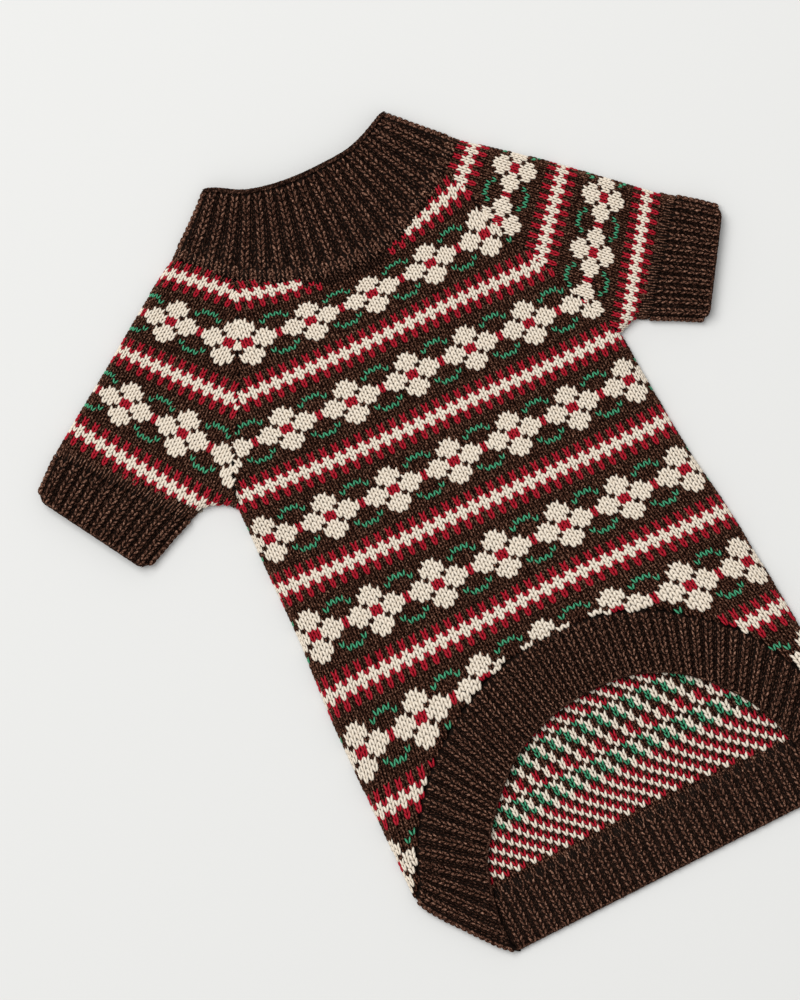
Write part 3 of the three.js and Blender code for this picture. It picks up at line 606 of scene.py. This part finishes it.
def knit_charted(piece, surface, stitches_at, outline, chart, leg=LEG):
    """Stitches of the front chart that lie inside an outline, with the collar's shadow painted on those
    near the neck.
    """
    centres, across, down, rows, wales = stitches_at
    kept = inside(centres, outline)
    codes = chart_codes(rows[kept], wales[kept], **chart)
    # Near the neck seam, stitches take the brown painted darker: the collar's painted shadow.
    near_neck = nearest(centres[kept], neck_seam)[0] < NECK_REACH
    for code, (first_x, last_x) in NECK_SHADE.items():
        shaded = near_neck & (centres[kept, 0] > first_x) & (centres[kept, 0] < last_x)
        codes[shaded & (codes == code)] = "d"
    return knit(piece, "patterned_knit", surface, centres[kept], across[kept], down[kept], codes, leg)


def wall_piece(name, outer, inner, closed, replaces):
    """A thin closed shell between two grids of points (columns, rows, 3), near-black as painted shade
    between the stitches.
    """
    columns, rows = outer.shape[:2]
    points = np.concatenate([outer.reshape(-1, 3), inner.reshape(-1, 3)])
    number = np.arange(2 * columns * rows).reshape(2, columns, rows)
    if closed:
        number = np.concatenate([number, number[:, :1]], axis=1)
    front, back = number

    def quads(a, b, c, d):
        a, b, c, d = (grid.ravel() for grid in (a, b, c, d))
        return np.concatenate([np.stack([a, b, c], 1), np.stack([a, c, d], 1)])

    faces = [quads(front[:-1, :-1], front[:-1, 1:], front[1:, 1:], front[1:, :-1]),
             quads(back[:-1, :-1], back[1:, :-1], back[1:, 1:], back[:-1, 1:]),
             quads(front[:-1, 0], front[1:, 0], back[1:, 0], back[:-1, 0]),
             quads(front[:-1, -1], back[:-1, -1], back[1:, -1], front[1:, -1])]
    if not closed:
        faces += [quads(front[0, :-1], back[0, :-1], back[0, 1:], front[0, 1:]),
                  quads(front[-1, :-1], front[-1, 1:], back[-1, 1:], back[-1, :-1])]
    return make_piece(name, points, np.concatenate(faces), SHADE_BACKING, replaces)


def face_normals(grid):
    """Outward normals of a grid of points, columns by rows."""
    side = np.gradient(grid, axis=0)
    fall = np.gradient(grid, axis=1)
    normal = np.cross(fall, side)
    return normal / np.maximum(np.linalg.norm(normal, axis=2), 1e-9)[..., None]


def cover_grid(surface, plan):
    """A surface's points over a grid of plan points."""
    columns, rows = plan.shape[:2]
    return surface.at(plan.reshape(-1, 2)).reshape(columns, rows, 3)


class Strip:
    """Cloth between a first and a second edge; place 0 to 1 goes across, row 0 to 1 along them.

    bends are the strip's shaped ends: path, row (0 or 1) and the path's own reach. The cloth
    goes on past both edges by wrap, round their folds. The edges' own bow fades across it.
    corners rounds the corners of its last row.
    """

    def __init__(self, first, second, bends=(), wrap=WRAP, fade=1, corners=False):
        self.first, self.second, self.wrap, self.fade = first, second, wrap, fade
        self.drop = CORNER_DROP / reach_of(first)[-1] if corners else 0
        self.end_width = np.linalg.norm(first[-1] - second[-1])
        self.bends = [(path, row, reach_of(path) if reach is None else reach)
                      for path, row, reach in bends]
        self.width = np.mean([reach[-1] for _, _, reach in self.bends]
                             or [np.linalg.norm(first[0] - second[0])])

    def plan(self, place, row):
        place, row = np.broadcast_arrays(np.asarray(place, float), np.asarray(row, float))
        extra = self.wrap / self.width
        share = (place * (1 + 2 * extra) - extra)[..., None]
        from_fold = np.minimum(share, 1 - share) * self.end_width
        row = row[..., None] * (1 - self.drop * np.clip(1 - from_fold / CORNER_REACH, 0, 1)**2)
        points = 0.0
        for edge, weight in ((self.first, 1 - share), (self.second, share)):
            straight = edge[0] + row * (edge[-1] - edge[0])
            bow = along_path(edge, row[..., 0]) - straight
            near = weight
            if self.fade > 1:
                near = np.where(weight > 1, weight, np.clip(weight, 0, 1)**self.fade)
            points = points + weight * straight + near * bow
        for path, end, reach in self.bends:
            near_end = 1 - row if end == 0 else row
            start, stop = self.first[-end], self.second[-end]
            straight = start + share * (stop - start)
            points = points + near_end * (along_path(path, share[..., 0], reach) - straight)
        return points

    def wrapped(self, wrap):
        """The same strip with another wrap."""
        return Strip(self.first, self.second, self.bends, wrap, self.fade, self.drop > 0)

    def length(self, place):
        return float(np.linalg.norm(self.plan(place, 1.0) - self.plan(place, 0.0)))


class Apron(Strip):
    """Upright cloth between the hem seam and the hem, cut off by the folds at its two ends."""

    wrap = 0

    def __init__(self, left, right, top):
        self.left, self.right, self.top = left, right[::-1], top
        self.start = np.interp(-(top - SHORTEST_RIB), -left[:, 1], left[:, 0])
        self.stop = np.interp(-(top - SHORTEST_RIB), -right[:, 1], right[:, 0])
        self.width = self.stop - self.start

    def plan(self, place, row):
        place, row = np.broadcast_arrays(np.asarray(place, float), np.asarray(row, float))
        x = self.start + place * self.width
        bottom = np.maximum(np.interp(x, self.left[:, 0], self.left[:, 1]),
                            np.interp(x, self.right[:, 0], self.right[:, 1]))
        return np.stack([x, self.top + (bottom - self.top) * row], axis=-1)


def counted_edges(ribs, table):
    """Places of the furrows beside each rib, spaced by a count of ribs along the strip."""
    table = np.array(table, float)
    return np.interp(np.linspace(0, table[-1, 1], ribs + 1), table[:, 1], table[:, 0])


def rib_relief(edges):
    """Height of the ribs over the cloth: rounded, with narrow furrows between them."""
    def relief(place):
        count = np.interp(place, edges, np.arange(len(edges)))
        return RIB_HEIGHT * np.minimum(0.75 * (1 + np.cos(2 * math.pi * (count - 0.5))), 1.1)
    return relief


def body_shell():
    """The chest panel's shell, rolled down over both side folds."""
    shares = np.linspace(0, 1, BODY_COLUMNS)
    levels = np.linspace(0, 1, BODY_ROWS)

    def column_x(share, y):
        left = np.interp(-y, -left_side[:, 1], left_side[:, 0]) - WRAP
        right = np.interp(-y, -right_side[:, 1], right_side[:, 0]) + WRAP
        return left + (right - left) * share

    def crossing(path, guess):
        y = np.full(len(shares), guess, float)
        for _ in range(12):
            y = np.interp(column_x(shares, y), path[:, 0], path[:, 1])
        return y

    top = crossing(body_top, LEFT_SIDE[0][1])
    bottom = crossing(band_seam, LEFT_SIDE[-1][1])
    y = top[:, None] + (bottom - top)[:, None] * levels[None]
    x = column_x(shares[:, None], y)
    outer = cover_grid(chest_cover, np.stack([x, y], axis=2))
    normal = face_normals(outer)
    return outer - SHELL_SINK * normal, outer - (SHELL_SINK + SHELL_WALL) * normal


def strip_shell(surface, strip, columns, rows, relief=None):
    """A strip's upper layer: its outer and inner grids."""
    place, row = np.meshgrid(np.linspace(0, 1, columns), np.linspace(0, 1, rows), indexing="ij")
    outer = cover_grid(surface, strip.plan(place, row))
    normal = face_normals(outer)
    if relief:
        outer = outer + normal * relief(place)[..., None]
    inner = outer - (SHELL_SINK + SHELL_WALL) * normal
    if relief:
        inner = inner - normal * relief(place)[..., None]
    return outer - SHELL_SINK * normal, inner


def tube_shell(surface, strip, columns, rows, relief=None):
    """A flattened tube's grids: the upper layer over both folds, then the flat lower layer."""
    outer, inner = strip_shell(surface, strip, columns, rows, relief)
    inner[..., 2] = np.maximum(inner[..., 2], UNDER_Z + SHELL_WALL)
    outer[..., 2] = np.maximum(outer[..., 2], UNDER_Z)
    lower = strip.wrapped(0)
    place, row = np.meshgrid(np.linspace(1, 0, columns // 4)[1:-1], np.linspace(0, 1, rows), indexing="ij")
    plan = lower.plan(place, row)
    flat = np.full((*place.shape, 1), UNDER_Z)
    outer = np.concatenate([outer, np.concatenate([plan, flat], axis=2)])
    inner = np.concatenate([inner, np.concatenate([plan, flat + SHELL_WALL], axis=2)])
    return outer, inner


def spread(strip, place, level, half, step):
    """Centres of stitches on a strip, and the plan vectors across and down them."""
    across = strip.plan(place + half, level) - strip.plan(place - half, level)
    down = strip.plan(place, level + step / 2) - strip.plan(place, level - step / 2)
    return strip.plan(place, level), across, down


def rib_lattice(strip, edges, span=(0, 1), between=False):
    """Stitch centres, widths and rows along each rib, or along the furrows between ribs."""
    centres, across, down = [], [], []
    start, end = span
    middles = (edges[:-1] + edges[1:]) / 2
    pitches = np.diff(edges)
    for place in edges[1:-1] if between else middles:
        half = np.interp(place, middles, pitches) / 2
        rows = max(round(strip.length(place) * (end - start) / RIB_ROW), 1)
        step = (end - start) / rows
        level = start + (np.arange(rows) + 0.5) * step
        middle, side, fall = spread(strip, place, level, half, step)
        pitch = np.linalg.norm(side, axis=1)[:, None]
        if between:
            wide = np.maximum(pitch - FURROW_MARGIN, FURROW_WIDTH)
        else:
            wide = np.minimum(RIB_WIDTH, RIB_SHARE * pitch)
        centres.append(middle)
        across.append(side / pitch * wide)
        down.append(fall)
    return np.vstack(centres), np.vstack(across), np.vstack(down)


def knit_ribs(piece, surface, strip, edges, span):
    """V stitches on the ribs, and small low ones in the furrows, in the brown painted darker as the
    furrows' shade.
    """
    made = []
    # The furrows' stitches take d, the brown painted darker as shade in the furrows.
    for name, between, code, options in (
            ("ribs", False, "h", {"lift": RIB_HEIGHT, "height": 1.1, "fill": 1.15}),
            ("furrows", True, "d", {"lift": -0.35, "height": 0.85})):
        centres, across, down = rib_lattice(strip, edges, span, between)
        codes = np.full(len(centres), code)
        made += knit(f"{piece}_{name}", "rib_knit", surface, centres, across, down, codes, RIB_LEG,
                     **options)
    return made


def knit_rows(piece, surface, strip, edges, span, rows):
    """Plain rows of stitches between the ribs and a seam, two stitches a rib."""
    places = np.interp(np.arange(len(edges) * 2 - 2) / 2 + 0.25, np.arange(len(edges)), edges)
    start, end = span
    step = (end - start) / rows
    place, level = (grid.ravel() for grid in np.meshgrid(places, start + (np.arange(rows) + 0.5) * step))
    lattice_there = spread(strip, place, level, (places[1] - places[0]) / 2, step)
    return knit(piece, "rib_knit", surface, *lattice_there, np.full(len(place), "h"))


def knit_edge(piece, surface, strip, row, width, length, lift):
    """A chain of stitches along a strip's edge or seam, at one row of it, in the brown painted darker as
    shade.
    """
    total = strip.width + 2 * strip.wrap
    count = round(total / length)
    place = (np.arange(count) + 0.5) / count
    half = 0.5 / count
    down = strip.plan(place + half, row) - strip.plan(place - half, row)
    across = np.column_stack([-down[:, 1], down[:, 0]])
    across *= width / np.linalg.norm(across, axis=1)[:, None]
    # The chain takes d, the brown painted darker as shade.
    codes = np.full(count, "d")
    return knit(piece, "rib_knit", surface, strip.plan(place, np.full(count, row)), across, down, codes,
                LEG, lift=lift)


def cord(piece, surface, strip, row, half_width, half_height, lift, span=(0, 1)):
    """A rolled edge of yarn along one row of a strip, in the brown painted darker as shade."""
    total = strip.width + 2 * strip.wrap
    place = np.linspace(*span, round(total / 0.9))
    level = np.full(len(place), row)
    middle = surface.at(strip.plan(place, level))
    along = np.gradient(middle, axis=0)
    fall = surface.at(strip.plan(place, level + 0.01)) - surface.at(strip.plan(place, level - 0.01))
    outward = np.cross(along, fall)
    outward *= np.sign(np.median(outward[:, 2])) * surface.facing
    fall, outward = (v / np.linalg.norm(v, axis=1)[:, None] for v in (fall, outward))
    swell = 1 + 0.07 * np.sin(place * total * 2 * math.pi / 3.1) + 0.05 * np.sin(place * total * 0.73)
    angles = np.arange(CORD_SIDES) * 2 * math.pi / CORD_SIDES
    ring = (half_width * np.cos(angles)[None, :, None] * fall[:, None]
            + half_height * np.sin(angles)[None, :, None] * outward[:, None])
    points = (middle + lift * outward)[:, None] + ring * swell[:, None, None]
    count = len(place)
    number = np.arange(count * CORD_SIDES).reshape(count, CORD_SIDES)
    ahead = np.roll(number, -1, axis=1)
    a, b, c, d = number[:-1].ravel(), ahead[:-1].ravel(), ahead[1:].ravel(), number[1:].ravel()
    caps = [(number[0, 0], number[0, k + 1], number[0, k]) for k in range(1, CORD_SIDES - 1)]
    caps += [(number[-1, 0], number[-1, k], number[-1, k + 1]) for k in range(1, CORD_SIDES - 1)]
    faces = np.concatenate([np.stack([a, b, c], 1), np.stack([a, c, d], 1), np.array(caps)])
    points = points.reshape(-1, 3)
    corners = points[faces]
    volume = np.sum(np.cross(corners[:, 0], corners[:, 1]) * corners[:, 2])
    points[:, 2] = np.maximum(points[:, 2], LOWEST)
    # The rolled edge takes d, the brown painted darker as its shade.
    return [make_piece(piece, points, faces if volume > 0 else faces[:, ::-1], YARNS["d"])]


# ---- surfaces and strips
chest_cover = Cover([left_side, right_side[::-1]])
left_sleeve_cover, left_cuff_cover = (
    Cover([shoulder, lower[::-1]]) for shoulder, lower in (left_sleeve_folds, left_cuff_folds))
right_sleeve_cover, right_cuff_cover = (
    Cover([shoulder[::-1], lower]) for shoulder, lower in (right_sleeve_folds, right_cuff_folds))
collar_cover = Cover([collar_left, collar_right[::-1]])
band_cover = Cover([left_hem_fold, right_hem_fold[::-1]], band_height)
underside = Flat(UNDER_Z, -1)
back_inside = Flat(INSIDE_Z, 1)

left_sleeve_seam = np.vstack([neck_left, left_raglan[1:]])
right_sleeve_seam = np.vstack([right_raglan[::-1], neck_right[1:]])
left_sleeve = Strip(*left_sleeve_folds, bends=[(left_sleeve_seam, 0, None)])
right_sleeve = Strip(*right_sleeve_folds[::-1], bends=[(right_sleeve_seam, 0, None)])
left_cuff = Strip(*left_cuff_folds, corners=True)
right_cuff = Strip(*right_cuff_folds[::-1], corners=True)
collar = Strip(collar_left, collar_right, bends=[(collar_top, 0, None), (neck_seam, 1, None)])
band_reach = reach_of(band_seam, band_free)
chest_band = Strip(left_hem_fold, right_hem_fold, fade=40,
                   bends=[(band_seam, 0, band_reach), (band_free, 1, band_reach)])
back_band = Apron(left_hem_fold + (HEM_INSET, 0), right_hem_fold - (HEM_INSET, 0), HEM_SEAM_Y)

collar_edges, cuff_edges, back_band_edges = (np.linspace(0, 1, ribs + 1)
                                             for ribs in (COLLAR_RIBS, CUFF_RIBS, BACK_BAND_RIBS))
chest_band_edges = counted_edges(CHEST_BAND_RIBS, CHEST_BAND_COUNT)


def strip_outline(strip, wrap):
    """A strip's outline in plan, past its folds by wrap."""
    wide = strip.wrapped(wrap)
    run = np.linspace(0, 1, 60)
    return np.vstack([wide.plan(run, 0), wide.plan(1, run[1:]), wide.plan(run[::-1], 1)[1:],
                      wide.plan(0, run[::-1])[1:-1]])


chest_outline = np.vstack([offset(body_top, 0.3), right_side + (WRAP, 0),
                           offset(band_seam, 0.3)[::-1], (left_side - (WRAP, 0))[::-1]])
back_outline = np.vstack([offset(body_top, -0.5), right_side - (BACK_INSET, 0),
                          [(RIGHT_SIDE[-1][0] - BACK_INSET - 9, HEM_SEAM_Y)],
                          [(LEFT_SIDE[-1][0] + BACK_INSET + 9, HEM_SEAM_Y)],
                          (left_side + (BACK_INSET, 0))[::-1]])
inside_outline = offset(band_free, 11)
inside_outline[:, 1] = np.maximum(inside_outline[:, 1], INSIDE_END)


def inside_place(rows, wales):
    """Plan points of the knitting on the inside of the back, where the arch shows it."""
    across_at, down_at = np.array(INSIDE_WALES), np.array(INSIDE_ROWS)
    start, stop, drop = INSIDE_DROP
    x = np.interp(wales, across_at[:, 0], across_at[:, 1])
    y = np.interp(rows, down_at[:, 0], down_at[:, 1])
    return np.column_stack([x, y - drop * np.clip((x - start) / (stop - start), 0, 1)])


def flat_piece(name, plan, relief):
    """A flat shell on the surface that the garment lies on, over a grid of plan points."""
    inner = np.concatenate([plan, np.full((*plan.shape[:2], 1), UNDER_Z)], axis=2)
    outer = inner + (0, 0, SHELL_WALL)
    outer[..., 2] += relief
    return wall_piece(f"{name}_cloth", outer, inner, False, (name,))


def build_back():
    columns, rows = 60, 48
    share = np.linspace(0, 1, columns)[:, None]
    x_top = LEFT_SIDE[0][0] + BACK_INSET + share * (RIGHT_SIDE[0][0] - LEFT_SIDE[0][0] - 2 * BACK_INSET)
    top = np.interp(x_top, body_top[:, 0], body_top[:, 1])
    level = np.linspace(0, 1, rows)[None]
    y = top + (HEM_SEAM_Y - top) * level
    left = np.interp(-y, -left_edge[:, 1], left_edge[:, 0]) + BACK_INSET
    right = np.interp(-y, -right_edge[:, 1], right_edge[:, 0]) - BACK_INSET
    x = left + (right - left) * share
    shell = flat_piece("back_panel", np.stack([x, y], axis=2), 0)
    centres, across, down, rows, wales = lattice(inside_place, -16, 24, -42, 48)
    codes = np.array([INSIDE_CHART[row % 21][wale % 3] if row <= INSIDE_LAST_ROW else "b"
                      for row, wale in zip(rows, wales)])
    kept = inside(centres, inside_outline)
    stitches = knit("back_inside", "patterned_knit", back_inside, centres[kept], across[kept], down[kept],
                    codes[kept], fill=0.92)
    stitches += knit_charted("back_outside", underside, BODY_LATTICE, back_outline, BODY_CHART, PLAIN_LEG)


def build_back_band():
    place, row = np.meshgrid(np.linspace(0, 1, BACK_BAND_RIBS * 6 + 1), np.linspace(0, 1, 9), indexing="ij")
    shell = flat_piece("back_hem_band", back_band.plan(place, row), rib_relief(back_band_edges)(place))
    stitches = knit_ribs("back_hem_band", back_inside, back_band, back_band_edges, (0.14, 1))
    stitches += knit_rows("back_hem_rows", back_inside, back_band, back_band_edges, (-0.02, 0.15), 2)
    stitches += cord("back_hem_edge", back_inside, back_band, 0.99, 0.7, 0.6, 0.3, (0.02, 0.98))
    centres, across, down = rib_lattice(back_band, back_band_edges)
    stitches += knit("back_hem_band_under", "rib_knit", underside, centres, across, down,
                     np.full(len(centres), "b"), PLAIN_LEG)
    run = np.linspace(0, 1, 120)
    area = area_of(np.vstack([back_band.plan(run, 0), back_band.plan(run[::-1], 1)]))


def build_chest():
    outer, inner = body_shell()
    shell = wall_piece("chest_panel_cloth", outer, inner, False, ("chest_panel",))
    stitches = knit_charted("chest", chest_cover, BODY_LATTICE, chest_outline, BODY_CHART)


def build_chest_band():
    outer, inner = strip_shell(band_cover, chest_band, CHEST_BAND_RIBS * 6 + 1, 11,
                               rib_relief(chest_band_edges))
    shell = wall_piece("chest_hem_band_cloth", outer, inner, False, ("chest_hem_band",))
    stitches = knit_ribs("chest_hem_band", band_cover, chest_band, chest_band_edges, (0.03, 0.98))
    stitches += cord("chest_hem_edge", band_cover, chest_band, 0.99, 0.7, 0.6, 0.1, (0.03, 0.97))
    area = area_of(strip_outline(chest_band, WRAP))


def build_sleeve(side, cover, strip, stitches_at):
    name = f"{side}_sleeve"
    outer, inner = tube_shell(cover, strip, 56, 30)
    shell = wall_piece(f"{name}_cloth", outer, inner, True, (name,))
    stitches = knit_charted(name, cover, stitches_at, strip_outline(strip, WRAP), SLEEVE_CHART)
    stitches += knit_charted(f"{name}_under", underside, stitches_at, strip_outline(strip, -1.0),
                             SLEEVE_CHART, PLAIN_LEG)
    area = area_of(strip_outline(strip, WRAP)) + area_of(strip_outline(strip, 0))


def build_ribbed_tube(name, cover, strip, edges, ribbed, plain, plain_rows, rolled, chained=False):
    outer, inner = tube_shell(cover, strip, (len(edges) - 1) * 6 + 1, 13, rib_relief(edges))
    shell = wall_piece(f"{name}_cloth", outer, inner, True, (name,))
    stitches = knit_ribs(name, cover, strip, edges, ribbed)
    stitches += knit_rows(f"{name}_rows", cover, strip, edges, plain, plain_rows)
    if chained:
        stitches += cord(f"{name}_edge", cover, strip, rolled, 1.2, 0.9, 0.2)
        stitches += knit_edge(f"{name}_chain", cover, strip, rolled, 2.4, 2.9, 0.6)
    else:
        stitches += cord(f"{name}_edge", cover, strip, rolled, 0.8, 0.6, -0.2)
    centres, across, down = rib_lattice(strip.wrapped(-1.0), edges)
    stitches += knit(f"{name}_under", "rib_knit", underside, centres, across, down,
                     np.full(len(centres), "b"), PLAIN_LEG)
    area = area_of(strip_outline(strip, WRAP)) + area_of(strip_outline(strip, 0))


BODY_LATTICE = lattice(chest_place, -13, 131, -46, 46)
BODY_CHART = {"later_zigzags": LATER_ZIGZAGS}
SLEEVE_CHART = {"last_row": LAST_SLEEVE_ROW}
LEFT_KNITTING, RIGHT_KNITTING = (lattice(sleeve_place(flowers, pace), -40, 60, -45, 75)
                                 for flowers, pace in zip((LEFT_FLOWERS, RIGHT_FLOWERS), SLEEVE_PACES))

build_back()
build_back_band()
build_chest()
build_chest_band()
build_sleeve("left", left_sleeve_cover, left_sleeve, LEFT_KNITTING)
build_sleeve("right", right_sleeve_cover, right_sleeve, RIGHT_KNITTING)
for name, cover, cuff, flat_size in (("left_cuff", left_cuff_cover, left_cuff, (0.158, 0.037)),
                                     ("right_cuff", right_cuff_cover, right_cuff, (0.134, 0.036))):
    build_ribbed_tube(name, cover, cuff, cuff_edges, (CUFF_CREASE + 0.03, 0.985),
                      (0, CUFF_CREASE), 1, 0.985)
build_ribbed_tube("collar", collar_cover, collar, collar_edges, (0.06, 0.86),
                  (0.86, 1.0), 3, 0.025, chained=True)


# ---- floor, light and camera
def add_floor():
    mesh = bpy.data.meshes.new("floor")
    half = FLOOR_HALF
    mesh.from_pydata([(-half, -half, 0), (half, -half, 0), (half, half, 0), (-half, half, 0)], [],
                     [(0, 1, 2, 3)])
    material = bpy.data.materials.new("paper_floor")
    material.use_nodes = True
    shader = material.node_tree.nodes["Principled BSDF"]
    shader.inputs["Base Color"].default_value = FLOOR_COLOUR
    shader.inputs["Roughness"].default_value = FLOOR_ROUGHNESS
    mesh.materials.append(material)
    floor = bpy.data.objects.new("floor", mesh)
    bpy.context.scene.collection.objects.link(floor)


def add_area_light(name, place, size, power):
    light = bpy.data.lights.new(name, "AREA")
    light.size = size
    light.energy = power
    lamp = bpy.data.objects.new(name, light)
    lamp.location = place
    direction = np.array(place) / np.linalg.norm(place)
    lamp.rotation_euler = (math.acos(direction[2]), 0, math.atan2(direction[1], direction[0]) + math.pi / 2)
    bpy.context.scene.collection.objects.link(lamp)


# The garment leans in the photograph: its length is turned from the picture's height.
LEAN = math.radians(-27.0)
PICTURE_HEIGHT = 0.480
CAMERA_HEIGHT = 2.4
PICTURE_MIDDLE = (-0.02325, 0.0211)
SENSOR = 36.0


def add_camera():
    camera = bpy.data.cameras.new("overhead")
    camera.sensor_fit = "VERTICAL"
    camera.sensor_height = SENSOR
    camera.lens = SENSOR * CAMERA_HEIGHT / PICTURE_HEIGHT
    holder = bpy.data.objects.new("overhead", camera)
    holder.location = (*PICTURE_MIDDLE, CAMERA_HEIGHT)
    holder.rotation_euler = (0, 0, LEAN)
    bpy.context.scene.collection.objects.link(holder)
    bpy.context.scene.camera = holder


add_floor()
add_area_light("key", KEY_PLACE, KEY_SIZE, KEY_POWER)
world = bpy.data.worlds.new("studio")
world.use_nodes = True
world.node_tree.nodes["Background"].inputs["Color"].default_value = (1, 1, 1, 1)
world.node_tree.nodes["Background"].inputs["Strength"].default_value = WORLD_STRENGTH
bpy.context.scene.world = world
bpy.context.scene.view_settings.view_transform = "Standard"
add_camera()
